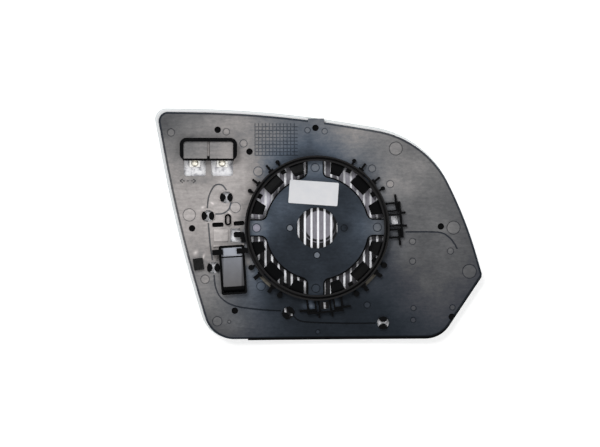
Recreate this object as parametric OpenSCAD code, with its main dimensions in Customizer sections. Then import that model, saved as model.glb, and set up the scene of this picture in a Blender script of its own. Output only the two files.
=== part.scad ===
// Door mirror glass seen from its back: a convex heated glass bonded to a moulded backing plate
// that carries a round snap ring, a hub with a bore, two heater terminals, wire clips and a small cover.
// The part lies on its glass. The origin is on the hub axis, in the back face of the plate; +Z is its back.
// Every layer is a shell about one centre of curvature, so a level is a height above the glass front.

/* [Glass] */
// Radius of curvature of the glass front
glass_r = 1250; // [1000:10:1800]
// Thickness of the glass
glass_t = 2; // [1.6:0.1:3]
// How far the glass shows past the plate along its top and left edges
glass_show = 2.1; // [0.6:0.1:2.6]
// Width and depth of the step ground along the back edge of the glass
glass_edge = 0.4; // [0.2:0.05:0.8]

/* [Heater] */
// Thickness of the white carrier film
film_t = 0.3; // [0.2:0.05:0.6]
// Distance from the plate outline to the edge of the film
film_inset = 3; // [2:0.5:6]
// Thickness of the printed heating layer and its leads
ink_t = 0.1; // [0.05:0.05:0.2]
// Width of the heating field
ink_w = 87; // [84:1:92]
// Height of the heating field
ink_h = 106; // [98:0.5:110]
// Spacing of the bare stripes in the heating field
stripe_pitch = 3.88; // [3.4:0.02:5]
// Width of one bare stripe
stripe_w = 1.25; // [0.8:0.05:1.8]
// Width of a lead from the heating field to its terminal
lead_w = 4; // [2:0.5:6]
// Distance of a lead from the upper or lower end of the heating field
lead_inset = 5.75; // [5:0.25:8]
// Glue line between one layer and the next
bond_gap = 0.03; // [0.02:0.01:0.1]

/* [Plate] */
// Distance from the hub axis to the upper left corner, along X
plate_left = 94.2; // [93.5:0.1:100]
// Distance from the hub axis to the pointed right end, along X
plate_right = 97.1; // [96.5:0.1:104]
// Distance from the hub axis to the upper left corner, along Y
plate_top = 68.3; // [68:0.1:74]
// Distance from the hub axis to the bottom edge, along Y
plate_bottom = 65.6; // [65.2:0.1:72]
// How far the pointed right end lies below the hub axis
apex_drop = 27.7; // [22:0.1:32]
// Thickness of the plate
plate_t = 2.2; // [1.8:0.1:3.5]
// Width of the lowered rim around the plate
rim_w = 1.2; // [1:0.1:3]
// Depth of the lowered rim
rim_step = 0.25; // [0.2:0.05:0.8]
// Width of the ledge along the bottom edge
ledge_w = 1.4; // [1:0.1:2.5]
// Depth of the ledge along the bottom edge
ledge_step = 1.5; // [0.8:0.1:1.6]
// How far the ledge reaches below the rest of the bottom edge
ledge_out = 0.8; // [0.4:0.1:1.5]
// Width of the tab over the top edge of the glass
tab_w = 9.4; // [5:0.2:14]
// Depth of the groove round each moulding mark
mark_depth = 0.35; // [0.2:0.05:0.6]
// Depth of the face of each moulding mark
mark_dip = 0.12; // [0.05:0.01:0.18]
// Radius of the small round sockets
socket_r = 1.9; // [1:0.1:2.4]
// Width of the wire grooves
groove_w = 0.9; // [0.6:0.1:1.6]
// Depth of the wire grooves
groove_depth = 0.5; // [0.3:0.05:0.8]
// Spacing of the lines in the ribbed patch
grid_pitch = 2.1; // [1.6:0.1:3]
// Width of a line in the ribbed patch
grid_line_w = 0.5; // [0.3:0.05:0.8]

/* [Hub] */
// Radius of the bore in the hub
bore_r = 12.1; // [8:0.1:13.5]
// Radius of the hub disc
disc_r = 31; // [29.5:0.1:31.4]
// How far the hub stands above the plate
disc_rise = 0.6; // [0.3:0.1:1.2]
// Width of an arm from the hub to the ring
arm_w = 10.3; // [8:0.1:12]
// Radius of the fillet between an arm and the disc
arm_fillet = 3.5; // [2:0.1:4.5]
// Width of the lowered rim along the edge of the hub and its arms
hub_rim_w = 0.8; // [0.4:0.1:1.4]
// Distance of the small round marks from the axis
boss_reach = 16; // [15.5:0.1:18]
// Radius of the small round marks
boss_r = 2.1; // [1:0.1:2.4]

/* [Snap ring] */
// Inner radius of the ring
ring_in_r = 39.6; // [39:0.1:41]
// Radial thickness of the whole ring
ring_w = 3; // [2.6:0.1:4]
// Height of the outer wall of the ring
ring_h = 5.5; // [4:0.1:9]
// How much lower the inner wall of the ring is
ring_inner_drop = 0.9; // [0:0.1:1.5]
// Thickness of each wall of the ring
ring_wall = 0.9; // [0.7:0.1:1.2]
// Height of the floor between the two walls
ring_floor = 2; // [1:0.1:3]
// Radius at which the finger tips end
finger_tip_r = 32.7; // [32.4:0.1:35]
// Width of a middle finger
finger_mid_w = 10.8; // [7:0.1:11.4]
// Width of a side finger at the ring
finger_root_w = 9.2; // [6:0.1:9.6]
// Width of a side finger at its tip
finger_tip_w = 5.6; // [3:0.1:6]
// Thickness of a finger
finger_t = 1.6; // [1:0.1:2.2]
// How much a finger climbs from root to tip
finger_climb = 1.9; // [0:0.1:3]
// Height of the gussets, pins and brackets outside the ring
gusset_h = 3; // [1.5:0.1:5]
// Length of a gusset outside the ring
gusset_len = 4.9; // [2:0.1:6]

/* [Brackets] */
// Distance of the outer wall of a bracket from the ring
bracket_reach = 7; // [5.6:0.1:11]
// Half of the length of a bracket
bracket_half = 10.1; // [9:0.1:14]
// Height of the slot in a bracket
bracket_slot_h = 4.7; // [3:0.1:5]
// Thickness of the walls of a bracket
bracket_wall = 1.2; // [0.8:0.1:1.8]

/* [Wire clips] */
// Radius of the hole under a wire clip
clip_r = 3.5; // [3:0.1:4.5]
// Gap between the two lobes of a wire clip
clip_gap = 1; // [0.6:0.1:1.8]
// Height of the lobes of a wire clip
clip_h = 1.2; // [1:0.1:4]

/* [Terminals] */
// Width of the hood over the terminals
hood_w = 33.6; // [32:0.2:38]
// Length of the hood over the terminals
hood_len = 13.4; // [12:0.2:18]
// Thickness of the walls of the hood
hood_wall = 2.2; // [1.2:0.1:2.4]
// Height of the hood above the plate
hood_h = 5.6; // [5:0.1:9]
// Length of the two windows below the hood
window_len = 9; // [7:0.2:12]
// Width of the bar between the two windows
window_bar = 3.2; // [1.6:0.1:4]
// Width of a terminal blade
blade_w = 6.3; // [4.8:0.1:6.4]
// Thickness of a terminal blade
blade_t = 0.8; // [0.5:0.1:1]
// Radius of a rivet head
rivet_r = 2.1; // [1.5:0.1:2.8]

/* [Cover] */
// Width of the small cover
cover_w = 12.2; // [10:0.1:12.4]
// Length of the small cover
cover_len = 26; // [20:0.5:28]
// Height of the small cover above the plate
cover_h = 4.5; // [3:0.1:8]
// Gap around the small cover
cover_gap = 0.25; // [0.1:0.05:0.5]
// Thickness of the frame around the small cover
frame_wall = 1.2; // [0.6:0.1:1.4]

/* [Label and pad] */
// Width of the blank label
label_w = 29; // [20:0.5:30]
// Height of the blank label
label_h = 13.8; // [8:0.2:14]
// Thickness of the blank label
label_t = 0.15; // [0.1:0.05:0.3]
// Width of the foam pad
pad_w = 5.9; // [4:0.1:9]
// Length of the foam pad
pad_len = 7; // [4:0.1:10]
// Thickness of the foam pad
pad_t = 1.5; // [0.8:0.1:3]

/* [Hidden] */

ring_out_r = ring_in_r + ring_w;

// Levels above the glass front
film_lo = glass_t + bond_gap;
film_hi = film_lo + film_t;
ink_lo = film_hi + bond_gap;
ink_hi = ink_lo + ink_t;
plate_lo = ink_hi + bond_gap;
plate_hi = plate_lo + plate_t;
hub_hi = plate_hi + disc_rise;

// The back face of the plate is the origin, so its centre of curvature is this far up the axis
centre_z = glass_r - plate_hi;
far = 30;
root = 0.8;
sphere_fn = 256;
round_fn = 96;
arc_tol = 0.02;
$fn = round_fn;

// Corners of the plate outline: x, y and the radius that blends the two edges there
waist_y = 1;
waist_x = 12.2 - plate_left;
foot_x = 32.2 - plate_left;
outline_corners = [
    [-plate_left, plate_top, 5.5], [waist_x, waist_y, 780], [foot_x, -plate_bottom, 18],
    [plate_right - 24.3, 1.3 - plate_bottom, 17], [plate_right, -apex_drop, 2.5],
    [plate_right - 9.5, 5.5, 240], [plate_right - 33.1, plate_top - 15.7, 58], [-27, plate_top - 0.7, 600]
];

// Round moulding marks on the plate: x, y and radius
marks = [
    [-85.8, 56.1, 2.4], [-53.4, 56.6, 2.2], [-43.3, 49.8, 2.4], [-5.6, 57.6, 1.9], [4.5, 57, 1.9],
    [46.4, 46.8, 4.1], [32.4, 35, 2.4], [43.1, 25.9, 2.4], [80.3, 0.2, 4.1], [89.6, -25.5, 4.3],
    [56.3, -7.9, 2.1], [56.3, -19.6, 2.1], [78.5, -13.6, 2.1], [56.8, -47.2, 1.8], [56.6, -54.2, 1.8],
    [79.6, -46.7, 1.8], [-58.7, -54.9, 3], [-75.2, 7.7, 3.9], [-48.1, 12.1, 3.3], [-34.6, 33.3, 3],
    [-33, -34.3, 2.8], [-65.9, -30.2, 2.8], [-51.7, -55.2, 1.2], [29.5, -45.4, 2.1], [0.5, -61.2, 1.5]
];
mark_ring_w = 0.5;

// Sideways offset of the right, upper, left and lower arm, seen outwards with left as positive
arm_offsets = [0.4, 1.1, 0, -0.7];
arm_mark_r = 2.7;
arm_mark_reach = 35.6;

// Round marks on the hub: one on each arm, and one left, right and below the bore
hub_marks = concat(
    [for (i = [0:3]) let (a = 90 * i, along = arm_mark_reach, side = arm_offsets[i])
        [along * cos(a) - side * sin(a), along * sin(a) + side * cos(a), arm_mark_r]],
    [for (i = [2:4]) [boss_reach * cos(90 * i), boss_reach * sin(90 * i), boss_r]]
);

// Round sockets in the plate
sockets = [[-58.5, 57.8], [-39.8, 45], [-0.9, 59], [72.9, 0.9], [-73.6, -0.2], [-48.4, -48.7], [79.2, -52.2]];
socket_depth = 1.6;

// Wire clips: x, y and the direction in which the wire runs
clips = [[-53.4, 18, 90], [-64.2, 7.1, 90], [-ring_out_r - 18.4, -23.4, 90], [-16.9, -50, 135], [38.9, -55.8, 0]];

// Wire grooves, each a list of points that a smooth curve goes through
grooves = [
    [[-64.6, 12], [-63.6, 19], [-60.3, 24.9], [-56.2, 25.4], [-53.6, 22.6]],
    [[-50.8, 14.9], [-52, 11], [-55.4, 8.6], [-59.8, 8.2]],
    [[-64, 2.6], [-63.7, -1.2], [-63, -9], [-61.6, -18.6]],
    [[-60.6, -28], [-59.6, -35.3], [-56.2, -41.4], [-48.4, -45.9], [-33.6, -48.1], [-21.6, -48.8]],
    [[-13.4, -52.4], [-9.5, -54.9], [1, -55.8], [20, -56.2], [34.2, -56]],
    [[52.5, -2.3], [71.4, -2.5], [77.6, -5.4], [80.6, -8.9], [82.3, -12]]
];

// Ribbed patch above the ring: left, lower, right and upper limit
grid_box = [-36.5, 42.8, -11.4, 61.6];
grid_depth = 0.4;

// Places of the pieces on the plate: x, y and, where it has one, a turn
hood_at = [-63.9, 46.3];
cover_at = [-ring_out_r - 7, -24.6];
cover_turn = 3.75;
cover_lift = 0.1;
pad_at = [-ring_out_r - 27.2, -21.3];
pad_turn = 8;
pad_lift = 0.05;
label_at = [-2, 20.7];
label_turn = -4;
tab_at = [-0.6, plate_top - 5.1];
window_gap = 0.15;
windows_w = hood_w - 2 * hood_wall - 2 * window_gap;
rivet_drop = 1.4;
ink_at = [-0.5, -0.95];
ink_left = ink_at.x - ink_w / 2;
ledge_from_x = -40.7;
field_from_x = 0.65;

quadrants = [0, 90, 180, 270];
finger_angles = [18.5, 71.5];
pin_angles = [31, 61];
gusset_angles = [39, 53];
pin_reach = ring_out_r + 2.6;
flange_half = 5.6;
bracket_turn = 5.8;
bracket_x = ring_out_r + bracket_reach;
bracket_peg_len = 3.1;
pin_r = 1.15;

function unit(v) = v / norm(v);

// The left edge of the plate at a height, taken straight between its corners
function left_edge(y) =
    y > waist_y ? waist_x + (y - waist_y) * (-plate_left - waist_x) / (plate_top - waist_y)
                : waist_x + (waist_y - y) * (foot_x - waist_x) / (waist_y + plate_bottom);

// Place of the rivet of the left (-1) or the right (1) terminal
function terminal_at(side) = hood_at + [side * (windows_w + window_bar) / 4, -hood_len / 2 - rivet_drop];

// Points of the arc of radius r that rounds the corner b between the edges towards a and c
function corner_arc(a, b, c, r) =
    let (u = unit(a - b), v = unit(c - b), half = acos(u * v) / 2,
         mid = b + unit(u + v) * r / sin(half), reach = r / tan(half),
         p = b + u * reach - mid, q = b + v * reach - mid,
         from = atan2(p.y, p.x), sweep = (atan2(q.y, q.x) - from + 540) % 360 - 180,
         steps = max(2, ceil(abs(sweep) / (2 * acos(1 - arc_tol / r)))))
    [for (i = [0:steps]) mid + r * [cos(from + sweep * i / steps), sin(from + sweep * i / steps)]];

// A closed outline from a list of corners, each with its own radius
function rounded_outline(corners) =
    let (n = len(corners))
    [for (i = [0:n - 1])
        let (a = corners[(i + n - 1) % n], b = corners[i], c = corners[(i + 1) % n])
        each corner_arc([a.x, a.y], [b.x, b.y], [c.x, c.y], b[2])];

// Point at t between b and c on the smooth curve through a, b, c and d
function smooth_point(a, b, c, d, t) =
    0.5 * (2 * b + (c - a) * t + (2 * a - 5 * b + 4 * c - d) * t * t + (3 * b - a - 3 * c + d) * t * t * t);

// A smooth curve through the points
function smooth(points, steps = 5) =
    let (n = len(points) - 1)
    concat([for (i = [0:n - 1])
        let (a = points[max(i - 1, 0)], d = points[min(i + 2, n)])
        each [for (s = [0:steps - 1]) smooth_point(a, points[i], points[i + 1], d, s / steps)]],
        [points[n]]);

// Height of the back face of the plate over a place
function back_z(at) = centre_z - sqrt(centre_z * centre_z - at.x * at.x - at.y * at.y);

// Everything further from the glass front than a level, as seen from the centre of curvature
module above(level) {
    translate([0, 0, centre_z]) rotate([0, -90, 0]) sphere(r = glass_r - level, $fn = sphere_fn);
}

// A flat shape given the curve of the glass, between two levels
module shell(lo, hi) {
    difference() {
        intersection() {
            translate([0, 0, -far]) linear_extrude(2 * far) children();
            above(lo);
        }
        above(hi);
    }
}

// A straight-sided block down to a level
module block(lo, top) {
    intersection() {
        translate([0, 0, -far]) linear_extrude(far + top) children();
        above(lo);
    }
}

// Removes a flat shape down to a level
module sink(lo) {
    intersection() {
        translate([0, 0, -far]) linear_extrude(2 * far) children();
        above(lo);
    }
}

// Stands a piece on the back face of the plate, square to it
module seated(at, turn = 0) {
    translate([at.x, at.y, back_z(at)])
        rotate([atan(at.y / centre_z), -atan(at.x / centre_z), 0])
            rotate(turn) children();
}

// A post, wall or rib rooted in the plate
module stand(at, height, turn = 0) {
    seated(at, turn) translate([0, 0, -root]) linear_extrude(height + root) children();
}

module bar(w, h) {
    square([w, h], center = true);
}

// A rectangle with round corners, centred
module round_bar(w, h, r) {
    bar(w - 2 * r, h);
    bar(w, h - 2 * r);
    for (x = [-1, 1], y = [-1, 1]) translate([x * (w / 2 - r), y * (h / 2 - r)]) circle(r);
}

// Half-round cap at the end of a band, from its one side to its other
function cap(at, heading, w) =
    [for (a = [-90:30:90]) at + w / 2 * [cos(heading + a), sin(heading + a)]];

// Outline of a band with sharp corners and square ends along a list of points
function band(points, w) =
    let (n = len(points) - 1,
         ways = [for (i = [0:n - 1]) unit(points[i + 1] - points[i])],
         sides = [for (i = [0:n])
             let (a = ways[max(i - 1, 0)], b = ways[min(i, n - 1)], mean = a + b)
             w / (mean * mean) * [-mean.y, mean.x]])
    concat([for (i = [0:n]) points[i] + sides[i]], [for (i = [n:-1:0]) points[i] - sides[i]]);

// A band of even width along a list of points, with round ends
module ribbon(points, w) {
    n = len(points) - 1;
    ways = [for (i = [0:n]) unit(points[min(i + 1, n)] - points[max(i - 1, 0)])];
    left = [for (i = [1:n - 1]) points[i] + [-ways[i].y, ways[i].x] * w / 2];
    right = [for (i = [1:n - 1]) points[n - i] - [-ways[n - i].y, ways[n - i].x] * w / 2];
    head = atan2(ways[n].y, ways[n].x);
    tail = atan2(-ways[0].y, -ways[0].x);
    polygon(concat(cap(points[n], head, w), [for (i = [n - 1:-1:1]) left[i - 1]],
                   cap(points[0], tail, w), [for (i = [n - 1:-1:1]) right[i - 1]]));
}

module plate_outline() {
    polygon(rounded_outline(outline_corners));
}

// The part of the plate that has the ledge, to the right of a step in the bottom edge
module ledge_reach() {
    translate([ledge_from_x, -1.2 * plate_bottom]) square([2 * plate_right, plate_bottom]);
}

// The outline of the plate, grown by a part of the show and moved up and left by the rest of it
module glass_outline() {
    moved = 0.6;
    translate([-glass_show, glass_show] * moved) offset(delta = glass_show * (1 - moved)) plate_outline();
}

module film_outline() {
    offset(delta = -film_inset) plate_outline();
}

// The field with its bare stripes cut out; its lower right corner clears the last wire clip
module ink_outline() {
    bus_w = 2;
    corner = 3;
    stripes = floor((ink_w / 2 - bus_w) / stripe_pitch);
    difference() {
        translate(ink_at) polygon(rounded_outline([
            [-ink_w / 2, ink_h / 2, corner], [-ink_w / 2, -ink_h / 2, corner],
            [ink_w / 2, -ink_h / 2, 3 * corner], [ink_w / 2, ink_h / 2, corner]
        ]));
        for (i = [-stripes:stripes])
            translate([field_from_x + i * stripe_pitch, ink_at.y]) bar(stripe_w, ink_h - 2 * bus_w);
    }
}

// Disc, four arms and the fillets between them
module hub_outline() {
    fillet_y = arm_w / 2 + arm_fillet;
    fillet_x = sqrt(pow(disc_r + arm_fillet, 2) - fillet_y * fillet_y);
    circle(disc_r);
    for (i = [0:3]) rotate(quadrants[i]) translate([0, arm_offsets[i]]) {
        translate([ring_in_r / 2, 0]) bar(ring_in_r + 4, arm_w);
        for (side = [0, 1]) mirror([0, side]) difference() {
            polygon([[0, 0], [fillet_x, 0], [fillet_x, fillet_y]]);
            translate([fillet_x, fillet_y]) circle(arm_fillet);
        }
    }
}

module window_outline() {
    difference() {
        circle(ring_in_r);
        hub_outline();
    }
}

// The slots in the brackets, the windows beside the small cover and the holes under the wire clips
module small_windows() {
    slot_in = 1.4;
    slot_w = bracket_reach - slot_in - bracket_wall / 2 - 1.2;
    for (a = [0, -90]) rotate(a + bracket_turn) translate([ring_out_r + slot_in + slot_w / 2, 0])
        bar(slot_w, bracket_slot_h);
    translate([-ring_out_r - 5.6, -4.2]) bar(5.6, 7.8);
    at_clips() circle(clip_r);
}

// The two windows below the hood, which run on under it
module terminal_windows() {
    run = window_len + hood_len - hood_wall;
    half_w = (windows_w - window_bar) / 2;
    for (side = [-1, 1])
        translate([side * (window_bar + half_w) / 2, hood_len / 2 - hood_wall - run / 2])
            round_bar(half_w, run, 1.6);
}

module mark_groove(r) {
    difference() {
        circle(r, $fn = 48);
        circle(r - mark_ring_w, $fn = 48);
    }
}

// The round marks in a face at a level: a groove and, inside it, a face that dips a little
module sink_marks(level, places) {
    sink(level - mark_depth) for (m = places) translate([m.x, m.y]) mark_groove(m[2]);
    sink(level - mark_dip) for (m = places) translate([m.x, m.y]) circle(m[2] - mark_ring_w / 2, $fn = 48);
}

module grid_lines() {
    w = grid_box[2] - grid_box[0];
    h = grid_box[3] - grid_box[1];
    for (i = [0:floor(w / grid_pitch)])
        translate([grid_box[0] + i * grid_pitch, grid_box[1] + h / 2]) bar(grid_line_w, h);
    for (i = [0:floor(h / grid_pitch)])
        translate([grid_box[0] + w / 2, grid_box[1] + i * grid_pitch]) bar(w, grid_line_w);
}

// Two concentric walls joined by a floor
module snap_ring() {
    wall_in = ring_in_r + ring_wall;
    wall_out = ring_out_r - ring_wall;
    inner_h = ring_h - ring_inner_drop;
    rotate_extrude($fn = 180) polygon([
        [ring_in_r, -root], [ring_out_r, -root], [ring_out_r, ring_h], [wall_out, ring_h],
        [wall_out, ring_floor], [wall_in, ring_floor], [wall_in, inner_h], [ring_in_r, inner_h]
    ]);
}

// A tongue that climbs from the inner wall of the ring towards the hub and ends in a small hook
module finger(root_w, tip_w) {
    start_r = ring_in_r + ring_wall / 2;
    low = ring_floor - finger_t / 2;
    high = low + finger_climb;
    hook = 0.7;
    intersection() {
        translate([0, root_w / 2, 0]) rotate([90, 0, 0]) linear_extrude(root_w) polygon([
            [start_r, low], [finger_tip_r, high], [finger_tip_r, high + finger_t],
            [finger_tip_r + 0.6, high + finger_t + hook], [finger_tip_r + 1.8, high + finger_t],
            [start_r, low + finger_t]
        ]);
        translate([0, 0, -far]) linear_extrude(2 * far) polygon([
            [finger_tip_r, -tip_w / 2], [start_r, -root_w / 2], [start_r, root_w / 2], [finger_tip_r, tip_w / 2]
        ]);
    }
}

module fingers() {
    for (a = quadrants) {
        rotate(a + 45) finger(finger_mid_w, finger_mid_w);
        for (b = finger_angles) rotate(a + b) finger(finger_root_w, finger_tip_w);
    }
}

// Gussets and locating pins around the outside of the ring; those of the lower half are wider
module ring_gussets() {
    for (a = quadrants) {
        gusset_w = a < 180 ? 1.3 : 2.2;
        for (b = gusset_angles) rotate(a + b) {
            translate([ring_out_r + gusset_len / 2 - 0.4, 0, -root])
                linear_extrude(gusset_h + root) bar(gusset_len + 0.8, gusset_w);
            translate([ring_out_r + 0.4, 0, -root]) linear_extrude(gusset_h + root + 1) bar(1.6, 3.4);
        }
        for (b = pin_angles) rotate(a + b) {
            translate([pin_reach, 0, -root]) cylinder(r = gusset_w / 2 + pin_r / 2, h = gusset_h + root);
            translate([ring_out_r + 0.8, 0, -root]) linear_extrude(gusset_h + root - 1) bar(3, 1.2);
            translate([ring_in_r - 0.8, 0, 0]) linear_extrude(ring_floor - 0.2) bar(3, 3);
        }
    }
}

// A flange between the two gussets of each lower quadrant
module ring_flange() {
    flange_r = ring_out_r + 1.9;
    for (a = [180, 270]) rotate(a + (gusset_angles[0] + gusset_angles[1]) / 2)
        translate([0, 0, -root]) linear_extrude(gusset_h + root - 0.8) intersection() {
            difference() {
                circle(flange_r);
                circle(ring_out_r - ring_wall / 2);
            }
            polygon([[0, 0], [2 * flange_r, -flange_half * 2], [2 * flange_r, flange_half * 2]]);
        }
}

// A ladder of ribs between the ring and an outer wall, with a peg at each end and two on its outside
module bracket() {
    root_x = ring_out_r - 1;
    rib_len = bracket_x - root_x;
    rib_w = bracket_wall * 0.8;
    slot_rib_y = bracket_slot_h / 2 + 0.9;
    mid_rib_y = (bracket_half + rib_w) / 2;
    for (side = [0, 1]) mirror([0, side]) translate([0, 0, -root]) {
        linear_extrude(gusset_h + root + 0.8)
            translate([bracket_x, bracket_half / 2]) bar(bracket_wall, bracket_half + bracket_wall);
        linear_extrude(gusset_h + root) {
            translate([root_x + rib_len / 2, bracket_half]) bar(rib_len, bracket_wall);
            for (y = [mid_rib_y, slot_rib_y]) translate([root_x + rib_len / 2, y]) bar(rib_len, rib_w);
            translate([bracket_x - 1.9, bracket_half + 2.5]) bar(bracket_wall, 5);
            translate([bracket_x + bracket_peg_len / 2, bracket_slot_h / 2 + 1.5]) bar(bracket_peg_len, bracket_wall);
        }
        linear_extrude(gusset_h + root - 0.6)
            translate([bracket_x - 1.3, (bracket_half + mid_rib_y) / 2]) bar(bracket_wall + 1, bracket_half - mid_rib_y);
    }
}

module at_clips() {
    for (c = clips) translate([c.x, c.y]) rotate(c[2]) children();
}

// Two round lobes that hold a wire between them, over a hole in the plate
module clip_lobes() {
    lobe_r = clip_r * 0.75;
    at_clips() intersection() {
        for (side = [-1, 1]) translate([0, side * (clip_gap / 2 + lobe_r)]) circle(lobe_r, $fn = 48);
        circle(clip_r + 0.3);
    }
}

// Low bars outside the lobes, which join them to the plate
module clip_supports() {
    at_clips() for (side = [-1, 1]) translate([0, side * (clip_r + 0.35)]) bar(clip_r, 1);
}

// Hood over the terminals: three walls, a roof and a partition, open towards the windows
module hood() {
    roof_drop = 1;
    roof_t = 1.5;
    lip_len = 1.3;
    corner = 4;
    inner_w = hood_w - 2 * hood_wall;
    roof_len = hood_len - hood_wall + 0.5;
    roof_y = (roof_len - hood_len) / 2;
    base = plate_t - 0.4;
    difference() {
        translate([0, 0, -base]) linear_extrude(hood_h + base) difference() {
            round_bar(hood_w, hood_len, corner);
            translate([0, -hood_wall]) round_bar(inner_w, hood_len, corner - hood_wall);
            translate([0, -hood_len / 2]) bar(inner_w, 2 * corner);
        }
        translate([0, -hood_len / 2 - far / 2 + hood_wall * 0.2, 0]) cube([hood_w * 2, far, 2 * far], center = true);
    }
    difference() {
        translate([0, roof_y, hood_h - roof_drop - roof_t]) linear_extrude(roof_t) bar(inner_w + 0.6, roof_len);
        translate([0, 0, hood_h - roof_drop - 0.6]) linear_extrude(far) {
            bar(window_bar / 2, 2 * hood_len);
            translate([0, lip_len - 1.5 * hood_len]) bar(2 * hood_w, 2 * hood_len);
        }
    }
    translate([0, roof_y, -base]) linear_extrude(hood_h + base - roof_drop - roof_t / 2)
        bar(window_bar * 0.7, roof_len);
}

// Raised frame around the small cover, with two latches that hook over its upper corners; each latch is
// its side, its reach outwards and its reach over the cover
module cover_frame() {
    inner_w = cover_w + 2 * cover_gap;
    inner_len = cover_len + 2 * cover_gap;
    latch_h = 3.2;
    latches = [[-1, 5, 1.2], [1, 3, 3.4]];
    hook_t = 0.8;
    hook_z = cover_h + cover_lift + cover_gap;
    translate([0, 0, -root]) linear_extrude(root + cover_h * 0.7) difference() {
        round_bar(inner_w + 2 * frame_wall, inner_len + 2 * frame_wall, frame_wall + 0.2);
        bar(inner_w, inner_len);
    }
    for (l = latches) translate([l[0] * inner_w / 2, cover_len / 2 - 2.2]) {
        translate([l[0] * l[1] / 2, 0, -root]) linear_extrude(root + hook_z + hook_t) bar(l[1], latch_h);
        translate([l[0] * (1 - l[2]) / 2, 0, hook_z]) linear_extrude(hook_t) bar(l[2] + 1, latch_h);
    }
}

// Raised block, slots' rims and ridge between the wire clips and the small cover
module latch_details() {
    stand([-ring_out_r - 14.1, -4.3], 0.7) round_bar(8.4, 7.2, 0.8);
    stand([-ring_out_r - 9.5, -10.1], 0.8, 3.5) bar(18.6, 1.1);
    stand([-ring_out_r - 3.4, -3.9], 1.6) round_bar(6.2, 3.2, 0.8);
    stand([-ring_out_r - 0.7, -6.6], 2) bar(3, 3.2);
    stand([-ring_out_r - 9.9, 4.9], 1.3) difference() {
        round_bar(3.8, 6.8, 1.8);
        round_bar(1.6, 4.6, 0.75);
    }
}

module latch_slots() {
    translate([-ring_out_r - 15.8, 1.9]) rotate(2) round_bar(6.7, 2.6, 1);
    translate([-ring_out_r - 3.4, 2.8]) rotate(4) round_bar(6.4, 2.6, 1);
}

// Two small arrow heads with a bar, a plain moulding mark
module plain_mark() {
    for (side = [-1, 1]) translate([side * 4.6, 0]) for (turn = [-35, 35])
        rotate(turn * side) translate([-side * 1, 0]) bar(2, 0.5);
    for (x = [-2.4, 0, 2.4]) translate([x, 0]) bar(1.3, 0.5);
}

module plate_levels() {
    difference() {
        block(plate_lo, far - 1) union() {
            plate_outline();
            translate([0, -ledge_out]) intersection() {
                plate_outline();
                ledge_reach();
            }
            translate(tab_at) bar(tab_w, 2.6);
        }
        sink(plate_hi) difference() {
            offset(delta = 4) plate_outline();
            circle(ring_in_r + 1);
        }
        sink(hub_hi) circle(ring_in_r + 2);
        sink(hub_hi - disc_rise / 2) difference() {
            circle(ring_in_r);
            offset(delta = -hub_rim_w) hub_outline();
        }
        sink(plate_hi - rim_step) difference() {
            offset(delta = 4) plate_outline();
            offset(delta = -rim_w) plate_outline();
            translate(tab_at) bar(tab_w, 8);
        }
        sink(plate_hi - ledge_step) difference() {
            ledge_reach();
            translate([0, ledge_w - ledge_out]) plate_outline();
        }
    }
}

module plate_sunk_details() {
    sink(plate_lo - 1) {
        window_outline();
        circle(bore_r);
        small_windows();
    }
    seated(hood_at) translate([0, 0, -far]) linear_extrude(far + 0.5) terminal_windows();
    sink_marks(plate_hi, marks);
    sink_marks(hub_hi, hub_marks);
    sink(plate_hi - groove_depth) for (g = grooves) ribbon(smooth(g), groove_w);
    sink(plate_hi - grid_depth) grid_lines();
    sink(plate_hi - grid_depth) translate([-76, 27.7]) plain_mark();
    sink(plate_hi - socket_depth) {
        for (s = sockets) translate(s) circle(socket_r, $fn = 48);
        latch_slots();
    }
}

module mirror_glass() {
    color([0.72, 0.76, 0.78]) difference() {
        shell(0, glass_t) glass_outline();
        sink(glass_t - glass_edge) difference() {
            offset(delta = 2 * glass_edge) glass_outline();
            offset(delta = -glass_edge) glass_outline();
        }
    }
}

module heater_film() {
    color([0.9, 0.9, 0.91]) shell(film_lo, film_hi) film_outline();
}

module heater_ink() {
    color([0.16, 0.17, 0.2]) shell(ink_lo, ink_hi) ink_outline();
}

// A flat conductor from under a terminal to the side of the heating field
module lead(points) {
    color([0.78, 0.76, 0.72]) shell(ink_lo, ink_hi) polygon(band(points, lead_w));
}

// Runs down beside the left edge of the plate to the lower end of the field
module lead_left() {
    high = ink_at.y + ink_h / 2 - lead_inset;
    low = ink_at.y - ink_h / 2 + lead_inset;
    edge_gap = film_inset + lead_w / 2 + 1;
    lead([terminal_at(-1), [terminal_at(-1).x, high], [left_edge(high) + edge_gap, high],
          [left_edge(waist_y) + edge_gap, waist_y], [left_edge(low) + edge_gap, low], [ink_left - bond_gap, low]]);
}

module lead_right() {
    high = ink_at.y + ink_h / 2 - lead_inset;
    lead([terminal_at(1), [terminal_at(1).x, high], [ink_left - bond_gap, high]]);
}

module backing_plate() {
    color([0.2, 0.2, 0.21]) {
        difference() {
            union() {
                plate_levels();
                snap_ring();
            }
            plate_sunk_details();
            for (a = quadrants) rotate(a + 45) translate([ring_in_r + ring_w / 2, 0, 0.3])
                linear_extrude(far) bar(ring_w - 2 * ring_wall, finger_mid_w / 2);
        }
        fingers();
        ring_gussets();
        ring_flange();
        for (a = [0, -90]) rotate(a + bracket_turn) bracket();
        shell(plate_hi - root, plate_hi + clip_h) clip_lobes();
        shell(plate_hi - root, plate_hi + clip_h * 0.4) clip_supports();
        seated(hood_at) hood();
        seated(cover_at, cover_turn) cover_frame();
        latch_details();
    }
}

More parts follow.
